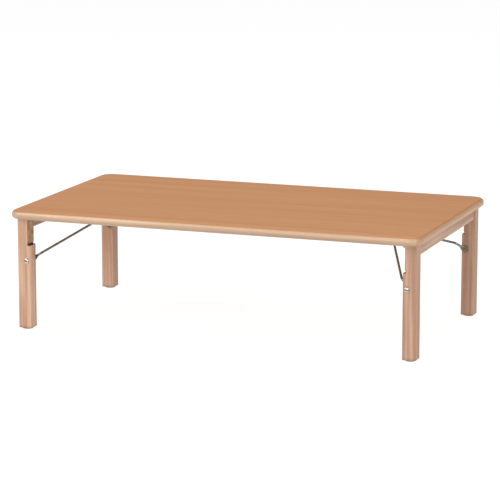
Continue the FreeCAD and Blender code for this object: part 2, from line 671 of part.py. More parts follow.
def stay_solid():
    """Bent wire stay with a flattened eye at each leg."""
    radius = num("sizes.wire_radius")
    side_y = num(eye_middle_y)
    bar_half = num("sizes.stay_bar_half")
    pivot = FreeCAD.Vector(num(pivot_x), side_y, num(pivot_z))
    knee_back = FreeCAD.Vector(num(f"{pivot_x} - sizes.stay_knee_reach"), side_y,
                               num(f"{pivot_z} + sizes.stay_knee_rise"))
    outward = (knee_back - pivot).normalize()
    wire_start = pivot + outward * num("sizes.washer_radius + sizes.side_play")
    route = [wire_start, knee_back, FreeCAD.Vector(num(bar_x), bar_half, num(bar_z))]
    route += [FreeCAD.Vector(point.x, -point.y, point.z) for point in reversed(route)]
    knee_bend = num("sizes.stay_knee_bend")
    bar_bend = num("sizes.stay_bar_bend")
    path = bent_wire(route, [knee_bend, bar_bend, bar_bend, knee_bend])
    profile = Part.Wire(Part.makeCircle(radius, wire_start, outward))
    solid = path.makePipeShell([profile], True, True)
    expected = math.pi * radius ** 2 * path.Length
    if abs(solid.Volume - expected) > 0.01 * expected:
        raise RuntimeError("stay wire volume is off")
    along = FreeCAD.Vector(0, 1, 0)
    thickness = num("sizes.eye_thickness")
    eye_radius = num("sizes.washer_radius + sizes.eye_margin")
    bore = num("sizes.bolt_radius + sizes.fit_clearance")
    for side in (-1, 1):
        middle = FreeCAD.Vector(pivot.x, side * side_y, pivot.z)
        face = middle - along * (thickness / 2)
        solid = solid.fuse(Part.makeCylinder(eye_radius, thickness, face, along))
        solid = solid.cut(Part.makeCylinder(bore, thickness * 2, middle - along * thickness, along))
    return solid


stay = doc.addObject("Part::Feature", "stay_wire")
stay.Shape = stay_solid().Solids[0]
at_both_ends(stay, "stay_wire")

# Catch that holds the stay's bar when the legs stand, with its mouth along the bar's first path
mouth_end_x = f"({bar_x} - sizes.catch_mouth_length)"
mouth_drop = f"(sizes.catch_mouth_length * {mouth_slope})"
catch_low_z = f"({bar_z} - {bar_room} - sizes.catch_wall - {mouth_drop})"
half_catch = "(sizes.catch_width / 2)"
catch = prism("catch_blank", "Y", [
    (mouth_end_x, catch_low_z),
    (catch_back_x, catch_low_z),
    (catch_back_x, flange_face_z),
    (catch_flange_x, flange_face_z),
    (catch_flange_x, underside),
    (mouth_end_x, underside),
], f"-{half_catch}", half_catch)
mouth_lean = f"({bar_room} * sin(atan({mouth_slope})))"
mouth_half = f"({bar_room} * cos(atan({mouth_slope})))"
pocket(catch, "catch_seat", "Y", [(bar_x, bar_z, bar_room)], f"-{half_catch}", half_catch)
pocket(catch, "catch_mouth", "Y", [[
    (f"{bar_x} - {mouth_lean}", f"{bar_z} + {mouth_half}"),
    (f"{bar_x} + {mouth_lean}", f"{bar_z} - {mouth_half}"),
    (mouth_end_x, f"{bar_z} - {mouth_half} - sizes.catch_play"
     f" - (sizes.catch_mouth_length + {mouth_lean}) * {mouth_slope}"),
    (mouth_end_x, f"{bar_z} + {mouth_half} + sizes.catch_play"
     f" - (sizes.catch_mouth_length - {mouth_lean}) * {mouth_slope}"),
]], f"-{half_catch}", half_catch)
catch_sinks = copies("catch_sinks", sunk_hole_shape, catch_spots, upright)
at_both_ends(cut("catch_sunk", catch, catch_sinks), "stay_catch")
at_both_ends(copies("catch_screws", screw_shape, catch_spots, upright), "catch_screws")

# Clip that holds the bar when the legs are folded, open below and flared to the bar's last path
clip_low_z = f"({folded_bar_z} - sizes.clip_mouth_depth)"
clip_outer_x = f"({folded_bar_x} + {bar_room} + sizes.clip_flare + sizes.clip_wall)"
clip_inner_x = f"({folded_bar_x} - {bar_room} - sizes.clip_wall)"
half_clip = "(sizes.clip_width / 2)"
clip = prism("clip_blank", "Y", rectangle(clip_inner_x, clip_outer_x, clip_low_z, underside),
             f"-{half_clip}", half_clip)
add_pad(clip, "clip_flange", "Y", [rectangle(clip_inner_x, clip_outer_x, flange_face_z, underside)],
        "-sizes.clip_flange_width / 2", "sizes.clip_flange_width / 2")
pocket(clip, "clip_seat", "Y", [(folded_bar_x, folded_bar_z, bar_room)], f"-{half_clip}", half_clip)
pocket(clip, "clip_mouth", "Y", [[
    (f"{folded_bar_x} - {bar_room}", folded_bar_z),
    (f"{folded_bar_x} - {bar_room}", clip_low_z),
    (f"{folded_bar_x} + {bar_room} + sizes.clip_flare", clip_low_z),
    (f"{folded_bar_x} + {bar_room}", folded_bar_z),
]], f"-{half_clip}", half_clip)
clip_sinks = copies("clip_sinks", sunk_hole_shape, clip_spots, upright)
at_both_ends(cut("clip_sunk", clip, clip_sinks), "storage_clip")
at_both_ends(copies("clip_screws", screw_shape, clip_spots, upright), "clip_screws")

# Check every object before anything is written
doc.recompute()
for obj in doc.Objects:
    if "Invalid" in obj.State or "Error" in obj.State:
        raise RuntimeError(f"{obj.Label} failed: {obj.State}")
for label, obj in parts.items():
    if obj.Shape.isNull() or not obj.Shape.isValid() or not obj.Shape.Solids:
        raise RuntimeError(f"{label} has no valid solid")

os.makedirs("parts", exist_ok=True)
for label, obj in parts.items():
    obj.Shape.exportStep(f"parts/{label}.step")
    print(label, len(obj.Shape.Solids), round(obj.Shape.Volume, 1))
print(len(parts), "sub-parts; stay turns", round(1 + num(back_turn), 5), "times the fold")
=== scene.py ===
import json
import math

import bmesh
import bpy
import numpy as np
from mathutils import Matrix, Vector


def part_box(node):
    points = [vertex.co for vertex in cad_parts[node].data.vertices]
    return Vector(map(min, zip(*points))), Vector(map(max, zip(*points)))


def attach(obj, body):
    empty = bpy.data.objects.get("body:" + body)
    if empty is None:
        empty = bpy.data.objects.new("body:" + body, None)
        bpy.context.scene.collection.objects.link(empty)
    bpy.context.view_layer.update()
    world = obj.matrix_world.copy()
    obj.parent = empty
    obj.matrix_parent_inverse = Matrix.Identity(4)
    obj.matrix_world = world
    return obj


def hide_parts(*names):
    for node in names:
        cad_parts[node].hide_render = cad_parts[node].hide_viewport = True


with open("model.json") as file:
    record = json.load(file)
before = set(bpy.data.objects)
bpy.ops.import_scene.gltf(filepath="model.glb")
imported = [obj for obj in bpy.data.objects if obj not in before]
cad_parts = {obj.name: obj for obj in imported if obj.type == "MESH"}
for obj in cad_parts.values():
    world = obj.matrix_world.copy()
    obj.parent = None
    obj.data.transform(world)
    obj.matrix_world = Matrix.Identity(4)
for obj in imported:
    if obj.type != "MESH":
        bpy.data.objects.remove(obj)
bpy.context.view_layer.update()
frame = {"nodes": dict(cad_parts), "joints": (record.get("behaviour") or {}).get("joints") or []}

scene = bpy.context.scene
nodes = frame["nodes"]
ends = {"right": 1, "left": -1}
sides = {"back": 1, "front": -1}
jointAt = {joint["name"]: Vector(joint["pos_m"]) for joint in frame["joints"]}
print("frame loaded:", len(nodes), "nodes")


# small tools for shader and geometry trees
def put(tree, kind, values=None, **settings):
    node = tree.nodes.new(kind)
    for key, value in settings.items():
        setattr(node, key, value)
    for key, value in (values or {}).items():
        if isinstance(value, bpy.types.NodeSocket):
            tree.links.new(value, node.inputs[key])
        else:
            node.inputs[key].default_value = value
    return node


def math2(tree, operation, a, b=0.0, clamp=False):
    return put(tree, "ShaderNodeMath", {0: a, 1: b}, operation=operation, use_clamp=clamp).outputs[0]


def remap(tree, value, low, high, newLow=0.0, newHigh=1.0):
    values = {"Value": value, "From Min": low, "From Max": high, "To Min": newLow, "To Max": newHigh}
    return put(tree, "ShaderNodeMapRange", values, clamp=True).outputs["Result"]


def mixColour(tree, factor, a, b, blend="MIX"):
    node = put(tree, "ShaderNodeMix", {0: factor, 6: a, 7: b}, data_type="RGBA", blend_type=blend)
    return node.outputs[2]


def linear(red, green, blue):
    tone = [value / 255 for value in (red, green, blue)]
    return [v / 12.92 if v <= 0.04045 else ((v + 0.055) / 1.055) ** 2.4 for v in tone] + [1.0]


def newMaterial(name):
    material = bpy.data.materials.new(name)
    material.use_nodes = True
    tree = material.node_tree
    return material, tree, tree.nodes["Principled BSDF"]


def coordinates(tree, turn=(0, 0, 0), shift=(0, 0, 0), stretch=(1, 1, 1)):
    place = put(tree, "ShaderNodeTexCoord").outputs["Object"]
    turned = put(tree, "ShaderNodeMapping", {"Vector": place, "Rotation": turn, "Location": shift})
    return stretched(tree, turned.outputs[0], stretch)


def stretched(tree, vector, stretch):
    return put(tree, "ShaderNodeMapping", {"Vector": vector, "Scale": stretch}).outputs[0]


def addBump(tree, shader, height, depth):
    bump = put(tree, "ShaderNodeBump", {"Height": height, "Distance": depth, "Strength": 1.0})
    tree.links.new(bump.outputs[0], shader.inputs["Normal"])


noiseMiddle = (0.3, 0.7)


def spread(tree, noise, low, high):
    # the middle of a noise's range stretched between two values
    return remap(tree, noise.outputs["Fac"], *noiseMiddle, low, high)


def addGloss(tree, shader, noise, roughness, drift):
    # roughness that follows a noise a little below and above its own value
    below, above = drift
    gloss = spread(tree, noise, roughness - below, roughness + above)
    tree.links.new(gloss, shader.inputs["Roughness"])


# solid wood: rings about a pith line beside the piece, fibres and short flecks along the grain
grainTurns = {"X": (0, 0, 0), "Y": (0, 0, -math.pi / 2), "Z": (0, math.pi / 2, 0)}
grainSpread = {  # fineness along and across the grain
    "wander": (2.2, 14, 14), "rings": (0.05, 1, 1), "fibre": (14, 620, 620), "streak": (3.5, 105, 105),
    "fleck": (190, 1150, 1150),
}


def paintedGapShade(tree, colour, mark):
    # painted shade: a dark band across the foot of a leg's gain, below the hinge leaf and on the shoulder,
    # where shade falls in the recess
    place = put(tree, "ShaderNodeTexCoord").outputs["Object"]
    along = put(tree, "ShaderNodeSeparateXYZ", {0: place}).outputs
    fade = mark["fade"]
    inward = math2(tree, "MULTIPLY", along[0], mark["hand"])
    cover = remap(tree, inward, mark["face"] + fade, mark["face"] + 2 * fade, mark["cover"], 0.0)
    above = remap(tree, along[2], mark["low"] - 2 * fade, mark["low"] - fade)
    cover = math2(tree, "MULTIPLY", cover, above)
    below = remap(tree, along[2], mark["high"], mark["high"] + fade, 1.0, 0.0)
    cover = math2(tree, "MULTIPLY", cover, below)
    return mixColour(tree, cover, colour, mark["colour"])


def rubbed(node, look):
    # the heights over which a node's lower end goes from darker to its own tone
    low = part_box(node)[0].z + look["full"]
    return {"low": low, "high": low + look["fade"], "tint": look["tint"]}


def darkerBelow(tree, colour, rub):
    # the lower end of a piece made darker by a multiplied tint: painted shade on the lower round of the
    # front and back lippings, the decor sheet's darker cut edge, and each leg darker towards its foot
    place = put(tree, "ShaderNodeTexCoord").outputs["Object"]
    height = put(tree, "ShaderNodeSeparateXYZ", {0: place}).outputs[2]
    cover = remap(tree, height, rub["low"], rub["high"], 1.0, 0.0)
    return mixColour(tree, cover, colour, rub["tint"], "MULTIPLY")


def woodMaterial(name, look):
    material, tree, shader = newMaterial(name)
    grain = coordinates(tree, grainTurns[look["along"]], look["shift"])
    wander = put(tree, "ShaderNodeTexNoise",
                 {"Vector": stretched(tree, grain, grainSpread["wander"]), "Scale": 1.0, "Detail": 2.0})
    rings = put(tree, "ShaderNodeTexWave",
                {"Vector": stretched(tree, grain, grainSpread["rings"]), "Scale": look["rings"],
                 "Distortion": 5.0, "Detail": 2.5, "Detail Scale": 0.6, "Detail Roughness": 0.55},
                wave_type="RINGS", rings_direction="X", wave_profile="SAW")
    fibre = put(tree, "ShaderNodeTexNoise",
                {"Vector": stretched(tree, grain, grainSpread["fibre"]), "Scale": 1.0, "Detail": 3.0,
                 "Roughness": 0.6})
    streak = put(tree, "ShaderNodeTexNoise",
                 {"Vector": stretched(tree, grain, grainSpread["streak"]), "Scale": 1.0, "Detail": 3.5})
    cells = put(tree, "ShaderNodeTexVoronoi",
                {"Vector": stretched(tree, grain, grainSpread["fleck"]), "Scale": 1.0, "Randomness": 1.0})
    fleck = remap(tree, cells.outputs["Distance"], *look["fleckSpan"], 1.0, 0.0)
    tone = math2(tree, "MULTIPLY", rings.outputs["Fac"], look["ringDepth"])
    tone = math2(tree, "ADD", tone, spread(tree, streak, 0.0, look["streakDepth"]))
    tone = math2(tree, "ADD", tone, spread(tree, wander, 0.0, look["wanderDepth"]), clamp=True)
    colour = mixColour(tree, tone, look["light"], look["dark"])
    thread = remap(tree, fibre.outputs["Fac"], *look["fibreSpan"], 0.0, look["fibreDepth"])
    colour = mixColour(tree, thread, colour, look["fibre"])
    colour = mixColour(tree, math2(tree, "MULTIPLY", fleck, look["fleckDepth"]), colour, look["fleck"])
    # painted shade in the gap below the hinge leaf
    if "mark" in look:
        colour = paintedGapShade(tree, colour, look["mark"])
    # darker towards the lower end: painted shade on the front and back lippings, darker towards the foot on
    # the legs
    if "rub" in look:
        colour = darkerBelow(tree, colour, look["rub"])
    tree.links.new(colour, shader.inputs["Base Color"])
    addGloss(tree, shader, fibre, look["roughness"], look["glossDrift"])
    ridge = math2(tree, "MULTIPLY", fibre.outputs["Fac"], look["fibreRelief"])
    addBump(tree, shader, math2(tree, "SUBTRACT", ridge, fleck), look["relief"])
    shader.inputs["Specular IOR Level"].default_value = look["shine"]
    shader.inputs["Coat Weight"].default_value = look["coat"]
    shader.inputs["Coat Roughness"].default_value = look["coatRoughness"]
    return material


def tonedLook(base, tone=1.0, **changes):
    # a base look with some values changed, and its colours made lighter or darker
    look = dict(base)
    look.update(changes)
    for name in ("light", "dark", "fibre", "fleck"):
        if name in look:
            look[name] = [value * tone for value in look[name][:3]] + [1.0]
    return look


legLook = {
    "along": "Z", "shift": (0, 0.06, 0.05), "rings": 40, "ringDepth": 0.24, "streakDepth": 0.85,
    "wanderDepth": 0.45, "fibreDepth": 0.34, "fleckDepth": 0.38, "roughness": 0.52, "relief": 0.00010,
    "coat": 0.08, "coatRoughness": 0.32, "shine": 0.5, "glossDrift": (0.05, 0.07), "fibreRelief": 0.6,
    "fibreSpan": (0.35, 0.7), "fleckSpan": (0.16, 0.30), "light": linear(208, 174, 147),
    "dark": linear(152, 113, 88), "fibre": linear(160, 115, 87), "fleck": linear(122, 80, 56),
}
# painted shade for the gap below each hinge leaf and the shoulder under it
gapShadeLook = {"gap": 0.006, "fade": 0.0002, "cover": 0.94, "colour": linear(70, 46, 31)}
edgeLook = tonedLook(legLook, light=linear(202, 171, 140), dark=linear(168, 134, 104),
                     fibre=linear(170, 127, 95), fleck=linear(140, 98, 68), roughness=0.40, coat=0.35,
                     ringDepth=0.15, streakDepth=0.45)
# painted shade: the end lippings' colours darker than the front and back ones, with less shine and coat
endEdgeShadeLook = {"light": linear(182, 145, 110), "dark": linear(152, 113, 82), "shine": 0.25, "coat": 0.10}
dowelLook = tonedLook(legLook, along="Y", light=linear(214, 184, 142), dark=linear(192, 156, 112), coat=0.0)

# decor sheet: printed straight grain under a satin skin, darker where its rounded edge is cut
decorLook = {
    "light": linear(191, 136, 88), "dark": linear(164, 109, 65), "pore": linear(124, 77, 44),
    "bandDepth": 0.42, "lineDepth": 0.45, "leastDepth": 0.1, "roughness": 0.50, "glossDrift": (0.03, 0.05),
    "shine": 0.28, "relief": 0.00003, "poreSpan": (0.14, 0.26), "patchSpan": (0.4, 0.65),
    "patchDepth": (0.05, 0.5),
}
decorSpread = {
    "bands": (0.9, 26, 26), "lines": (2.4, 210, 210), "pores": (120, 1250, 1250), "patch": (9, 60, 60),
}
cutRub = {"full": 0.0011, "fade": 0.0014, "tint": (0.78, 0.84, 0.86, 1.0)}


def decorMaterial(name, look):
    material, tree, shader = newMaterial(name)
    grain = coordinates(tree)
    bands = put(tree, "ShaderNodeTexNoise",
                {"Vector": stretched(tree, grain, decorSpread["bands"]), "Scale": 1.0, "Detail": 3.0})
    lines = put(tree, "ShaderNodeTexNoise",
                {"Vector": stretched(tree, grain, decorSpread["lines"]), "Scale": 1.0, "Detail": 4.0,
                 "Roughness": 0.65})
    cells = put(tree, "ShaderNodeTexVoronoi",
                {"Vector": stretched(tree, grain, decorSpread["pores"]), "Scale": 1.0})
    pore = remap(tree, cells.outputs["Distance"], *look["poreSpan"], 1.0, 0.0)
    patch = put(tree, "ShaderNodeTexNoise",
                {"Vector": stretched(tree, grain, decorSpread["patch"]), "Scale": 1.0, "Detail": 1.0})
    share = remap(tree, patch.outputs["Fac"], *look["patchSpan"], *look["patchDepth"])
    pore = math2(tree, "MULTIPLY", pore, share)
    tone = math2(tree, "ADD", spread(tree, bands, look["leastDepth"], look["bandDepth"]),
                 spread(tree, lines, look["leastDepth"], look["lineDepth"]), clamp=True)
    colour = mixColour(tree, tone, look["light"], look["dark"])
    colour = mixColour(tree, pore, colour, look["pore"])
    if "rub" in look:
        colour = darkerBelow(tree, colour, look["rub"])
    tree.links.new(colour, shader.inputs["Base Color"])
    addGloss(tree, shader, lines, look["roughness"], look["glossDrift"])
    shader.inputs["Specular IOR Level"].default_value = look["shine"]
    addBump(tree, shader, math2(tree, "SUBTRACT", lines.outputs["Fac"], pore), look["relief"])
    return material


# plated steel: fine grit and faint stains
steelSkin = {"grit": 2600.0, "stainSpan": (0.35, 0.7), "glossDrift": (0.06, 0.10)}


def steelMaterial(name, look):
    material, tree, shader = newMaterial(name)
    place = coordinates(tree)
    stain = put(tree, "ShaderNodeTexNoise", {"Vector": place, "Scale": look["stain"], "Detail": 3.0})
    grit = put(tree, "ShaderNodeTexNoise", {"Vector": place, "Scale": steelSkin["grit"], "Detail": 2.0})
    tone = remap(tree, stain.outputs["Fac"], *steelSkin["stainSpan"])
    colour = mixColour(tree, tone, look["bright"], look["dull"])
    tree.links.new(colour, shader.inputs["Base Color"])
    addGloss(tree, shader, stain, look["roughness"], steelSkin["glossDrift"])
    shader.inputs["Metallic"].default_value = 1.0
    addBump(tree, shader, grit.outputs["Fac"], look["relief"])
    return material


zincLook = {"bright": linear(164, 132, 97), "dull": linear(142, 110, 78), "roughness": 0.42,
            "relief": 0.00001, "stain": 60.0}
nutLook = {"bright": linear(132, 112, 88), "dull": linear(104, 86, 66), "roughness": 0.40,
           "relief": 0.00001, "stain": 220.0}
nickelLook = {"bright": linear(206, 199, 186), "dull": linear(174, 166, 152), "roughness": 0.33,
              "relief": 0.000005, "stain": 160.0}
# painted shade: a dark steel for the faces inside the bolt slots
slotShadeLook = {"bright": linear(92, 80, 68), "dull": linear(68, 58, 48), "roughness": 0.6, "relief": 0.00001,
            "stain": 160.0}
wireLook = {"bright": linear(140, 137, 132), "dull": linear(108, 105, 101), "roughness": 0.30,
            "relief": 0.000005, "stain": 90.0}


# moulded plastic: a very fine spark-eroded skin with slight tone drift
plasticSkin = {"drift": 90.0, "skin": 3200.0, "glossDrift": (0.05, 0.05), "glow": 0.05}


def plasticMaterial(name, look):
    material, tree, shader = newMaterial(name)
    place = coordinates(tree)
    drift = put(tree, "ShaderNodeTexNoise", {"Vector": place, "Scale": plasticSkin["drift"], "Detail": 3.0})
    skin = put(tree, "ShaderNodeTexNoise", {"Vector": place, "Scale": plasticSkin["skin"], "Detail": 2.0})
    colour = mixColour(tree, spread(tree, drift, 0.0, 1.0), look["light"], look["dark"])
    tree.links.new(colour, shader.inputs["Base Color"])
    addGloss(tree, shader, skin, look["roughness"], plasticSkin["glossDrift"])
    shader.inputs["Subsurface Weight"].default_value = plasticSkin["glow"]
    addBump(tree, shader, skin.outputs["Fac"], look["relief"])
    return material


nylonLook = {"light": linear(238, 234, 222), "dark": linear(226, 220, 205), "roughness": 0.5,
             "relief": 0.00003}
glideLook = {"light": linear(146, 122, 96), "dark": linear(122, 100, 78), "roughness": 0.55,
             "relief": 0.00003}

# chip core: pressed chips of many tones
chipLook = {"spread": (320, 320, 700), "light": linear(205, 168, 120), "dark": linear(164, 122, 80),
            "roughness": 0.85, "relief": 0.0002}


def chipMaterial(name, look):
    material, tree, shader = newMaterial(name)
    place = coordinates(tree, stretch=look["spread"])
    chips = put(tree, "ShaderNodeTexVoronoi", {"Vector": place, "Scale": 1.0})
    tone = put(tree, "ShaderNodeSeparateColor", {0: chips.outputs["Color"]}).outputs[0]
    colour = mixColour(tree, tone, look["light"], look["dark"])
    tree.links.new(colour, shader.inputs["Base Color"])
    shader.inputs["Roughness"].default_value = look["roughness"]
    addBump(tree, shader, tone, look["relief"])
    return material


def dressNode(name, material):
    mesh = nodes[name].data
    mesh.materials.clear()
    mesh.materials.append(material)


finishes = {
    "zincPlate": steelMaterial("zincPlate", zincLook),
    "nickelPlate": steelMaterial("nickelPlate", nickelLook),
    "dullPlate": steelMaterial("dullPlate", nutLook),
    "slotShade": steelMaterial("slotShade", slotShadeLook),
    "drawnWire": steelMaterial("drawnWire", wireLook),
    "whiteNylon": plasticMaterial("whiteNylon", nylonLook),
    "topDecor": decorMaterial("topDecor", dict(decorLook, rub=rubbed("face_sheet", cutRub))),
}
glidePlastic = plasticMaterial("glidePlastic", glideLook)
dressNode("core_board", chipMaterial("pressedChips", chipLook))
underLook = tonedLook(decorLook, light=linear(206, 172, 136), dark=linear(190, 152, 116),
                      pore=linear(160, 120, 88), roughness=0.6)
dressNode("under_sheet", decorMaterial("underDecor", underLook))
lippingGrain = {"front": "X", "back": "X", "left": "Y", "right": "Y"}
# painted shade: the front and back lippings darker over their lower round
lippingShade = {"full": 0.0065, "fade": 0.006, "tint": (0.76, 0.77, 0.80, 1.0)}
# each leg darker towards its foot
footDarkening = {"full": 0.0, "fade": 0.007, "tint": (0.68, 0.68, 0.68, 1.0)}
boards = {
    "lipping": {"start": (0.0, 0.12, -0.23), "step": (0.31, 0.05, 0.0)},
    "leg": {"start": (0.0, -0.2, 0.36), "step": (0.4, 0.11, 0.13)},
    "apron": {"start": (0.2, 0.62, 0.21), "step": (0.5, 0.0, 0.1)},
}


def boardShift(kind, count):
    # each board is cut from another stretch of the log
    start, step = boards[kind]["start"], boards[kind]["step"]
    return tuple(first + more * count for first, more in zip(start, step))


for count, (name, along) in enumerate(lippingGrain.items()):
    look = tonedLook(edgeLook, along=along, shift=boardShift("lipping", count))
    if along == "X":
        # painted shade on this lipping's lower round
        look["rub"] = rubbed(f"{name}_lipping", lippingShade)
    else:
        # painted shade on the end lippings
        look.update(endEdgeShadeLook)
    finishes[f"{name}EdgeWood"] = woodMaterial(f"{name}EdgeWood", look)
dowelWood = woodMaterial("dowelWood", dowelLook)
# each leg's colours scaled: partly its board's own tone, partly painted light and shade, the back legs under
# the top darker and the front left leg lighter
legToneAndShade = {"right_back": 0.92, "right_front": 0.97, "left_back": 0.92, "left_front": 1.04}
apronTone = 0.92
for endIndex, end in enumerate(ends):
    for sideIndex, side in enumerate(sides):
        count = 2 * endIndex + sideIndex
        corner = f"{end}_{side}"
        leafLow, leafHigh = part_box(f"{corner}_hinge_leg_leaf")
        # painted shade below this leg's hinge leaf
        mark = dict(gapShadeLook, hand=ends[end], low=leafLow.z - gapShadeLook["gap"], high=leafLow.z)
        mark["face"] = max(abs(leafLow.x), abs(leafHigh.x))
        look = tonedLook(legLook, legToneAndShade[corner], mark=mark, rub=rubbed(f"{corner}_leg", footDarkening),
                         shift=boardShift("leg", count))
        dressNode(f"{corner}_leg", woodMaterial(f"{end}{side.title()}LegWood", look))
        dressNode(f"{corner}_foot_glide", glidePlastic)
        dressNode(f"{corner}_hinge_pin", finishes["zincPlate"])
    look = tonedLook(legLook, apronTone, along="Y", shift=boardShift("apron", endIndex))
    dressNode(f"{end}_apron", woodMaterial(f"{end}ApronWood", look))
    dressNode(f"{end}_apron_dowels", dowelWood)
    dressNode(f"{end}_glide_nails", finishes["zincPlate"])
print("finishes made:", len(bpy.data.materials))

# small tools for meshes
meshLook = {"weld": 1e-6, "flat": 0.01, "easeAngle": 32, "crease": 35}


def asMesh(shell):
    mesh = bpy.data.meshes.new("shape")
    shell.to_mesh(mesh)
    shell.free()
    return mesh


def skinRings(rings):
    # equal point rings skinned to a closed tube
    shell = bmesh.new()
    made = [[shell.verts.new(point) for point in ring] for ring in rings]
    for first, second in zip(made, made[1:]):
        for place in range(len(first)):
            after = (place + 1) % len(first)
            shell.faces.new((first[place], first[after], second[after], second[place]))
    shell.faces.new(list(reversed(made[0])))
    shell.faces.new(made[-1])
    bmesh.ops.recalc_face_normals(shell, faces=shell.faces)
    return asMesh(shell)


def turnedMesh(profile, count):
    # (radius, height) pairs turned about Z
    angles = [2 * math.pi * step / count for step in range(count)]
    return skinRings([[(r * math.cos(a), r * math.sin(a), z) for a in angles] for r, z in profile])


def block(low, high):
    shell = bmesh.new()
    bmesh.ops.create_cube(shell, size=1.0)
    low, high = Vector(low), Vector(high)
    shell.transform(Matrix.Translation((low + high) / 2) @ Matrix.Diagonal((high - low).to_4d()))
    return asMesh(shell)


def joined(meshes):
    shell = bmesh.new()
    for mesh in meshes:
        shell.from_mesh(mesh)
    result = asMesh(shell)
    for material in meshes[0].materials:
        result.materials.append(material)
    return result


def placed(mesh, matrix):
    copy = mesh.copy()
    copy.transform(matrix)
    return copy


def hold(mesh):
    holder = bpy.data.objects.new("work", mesh)
    scene.collection.objects.link(holder)
    return holder


def evaluated(holder):
    graph = bpy.context.evaluated_depsgraph_get()
    mesh = bpy.data.meshes.new_from_object(holder.evaluated_get(graph))
    bpy.data.objects.remove(holder)
    return mesh


def combined(mesh, other, operation):
    body = hold(mesh)
    tool = hold(other)
    step = body.modifiers.new("combine", "BOOLEAN")
    step.operation = operation
    step.solver = "EXACT"
    step.material_mode = "TRANSFER"
    step.object = tool
    result = evaluated(body)
    bpy.data.objects.remove(tool)
    return result


def softened(node, width, steps=2):
    # a CAD shape with its sharp edges eased
    shell = bmesh.new()
    shell.from_mesh(nodes[node].data)
    bmesh.ops.remove_doubles(shell, verts=shell.verts, dist=meshLook["weld"])
    bmesh.ops.dissolve_limit(shell, angle_limit=meshLook["flat"], verts=shell.verts, edges=shell.edges)
    holder = hold(asMesh(shell))
    step = holder.modifiers.new("ease", "BEVEL")
    step.width = width
    step.segments = steps
    step.limit_method = "ANGLE"
    step.angle_limit = math.radians(meshLook["easeAngle"])
    return evaluated(holder)


def levelled(mesh, crease):
    # smooth shading in which flat faces stay flat beside eased edges
    mesh.shade_smooth()
    mesh.set_sharp_from_angle(angle=math.radians(crease))
    holder = hold(mesh)
    step = holder.modifiers.new("level", "WEIGHTED_NORMAL")
    step.keep_sharp = True
    return evaluated(holder)


def addPiece(name, mesh, material, body, slot, *replaced, crease=meshLook["crease"]):
    mesh = levelled(mesh, crease)
    mesh.name = name
    if not any(mesh.materials):
        mesh.materials.clear()
        mesh.materials.append(material)
    piece = bpy.data.objects.new(name, mesh)
    scene.collection.objects.link(piece)
    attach(piece, body)
    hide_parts(*replaced)


def solidBoxes(node):
    # the box of each separate solid in a node
    shell = bmesh.new()
    shell.from_mesh(nodes[node].data)
    bmesh.ops.remove_doubles(shell, verts=shell.verts, dist=meshLook["weld"])
    waiting = set(shell.verts)
    boxes = []
    while waiting:
        found = [waiting.pop()]
        for here in found:
            near = {edge.other_vert(here) for edge in here.link_edges} & waiting
            waiting -= near
            found.extend(near)
        spots = np.array([vert.co[:] for vert in found])
        boxes.append((Vector(spots.min(axis=0)), Vector(spots.max(axis=0))))
    shell.free()
    return sorted(boxes, key=lambda spot: tuple(spot[0]))


# panel: decor sheet with a rounded cut edge over four mitred lippings
panelLook = {
    "cornerRadius": 0.035, "topRound": 0.010, "bottomRound": 0.009, "lipWidth": 0.018, "steps": 18,
    "arcSteps": 10, "mitreGap": 0.00018, "mitreEase": 0.7,
}
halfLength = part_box("right_lipping")[1].x
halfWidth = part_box("back_lipping")[1].y
sheetLow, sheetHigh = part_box("face_sheet")
underLow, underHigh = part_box("under_sheet")


def roundProfile(look):
    # from the sheet's lower side round the edge to the underside, as (inset, height)
    radius = look["topRound"]
    start = math.acos(1 - (sheetHigh.z - sheetLow.z) / radius)
    points = []
    for step in range(look["arcSteps"] + 1):
        a = start + (math.pi / 2 - start) * step / look["arcSteps"]
        points.append((radius * (1 - math.sin(a)), sheetHigh.z - radius * (1 - math.cos(a))))
    radius = look["bottomRound"]
    for step in range(look["arcSteps"] + 1):
        a = math.pi / 2 * step / look["arcSteps"]
        points.append((radius * (1 - math.cos(a)), underLow.z + radius * (1 - math.sin(a))))
    points.append((radius, underHigh.z))
    return points


def lippingMesh(look, outX, outY):
    out = Vector((outX, outY, 0))
    along = Vector((-outY, outX, 0))
    reach, half = (halfLength, halfWidth) if outX else (halfWidth, halfLength)
    radius, width = look["cornerRadius"], look["lipWidth"]
    profile = roundProfile(look)
    lean = math.pi / 4
    stops = [lean * step / look["steps"] for step in range(look["steps"])]
    stops += [lean - math.radians(look["mitreEase"]), lean]
    rings = []
    for angle in [-stop for stop in reversed(stops)] + stops:
        hand = math.copysign(1, angle)
        facing = along * math.sin(angle) + out * math.cos(angle)
        centre = along * hand * (half - radius) + out * (reach - radius)
        cut = look["mitreGap"] if abs(angle) == lean else 0
        ring = [centre + facing * (radius - inset - cut) + Vector((0, 0, z)) for inset, z in profile]
        shift = half - radius + (radius - width) * abs(angle) / lean
        inner = along * hand * shift + out * (reach - width)
        ring += [inner + Vector((0, 0, underHigh.z)), inner + Vector((0, 0, sheetLow.z))]
        rings.append(ring)
    return skinRings(rings)


def sheetMesh(look):
    radius, corner = look["topRound"], look["cornerRadius"]
    start = math.acos(1 - (sheetHigh.z - sheetLow.z) / radius)
    rings = []
    for step in range(look["arcSteps"] + 1):
        a = start * (1 - step / look["arcSteps"])
        inset = radius * (1 - math.sin(a))
        height = sheetHigh.z - radius * (1 - math.cos(a))
        ring = []
        for quarter, (handX, handY) in enumerate(((1, 1), (-1, 1), (-1, -1), (1, -1))):
            for turn in range(look["steps"] + 1):
                angle = math.pi / 2 * (quarter + turn / look["steps"])
                x = handX * (halfLength - corner) + (corner - inset) * math.cos(angle)
                y = handY * (halfWidth - corner) + (corner - inset) * math.sin(angle)
                ring.append((x, y, height))
        rings.append(ring)
    return skinRings(rings)


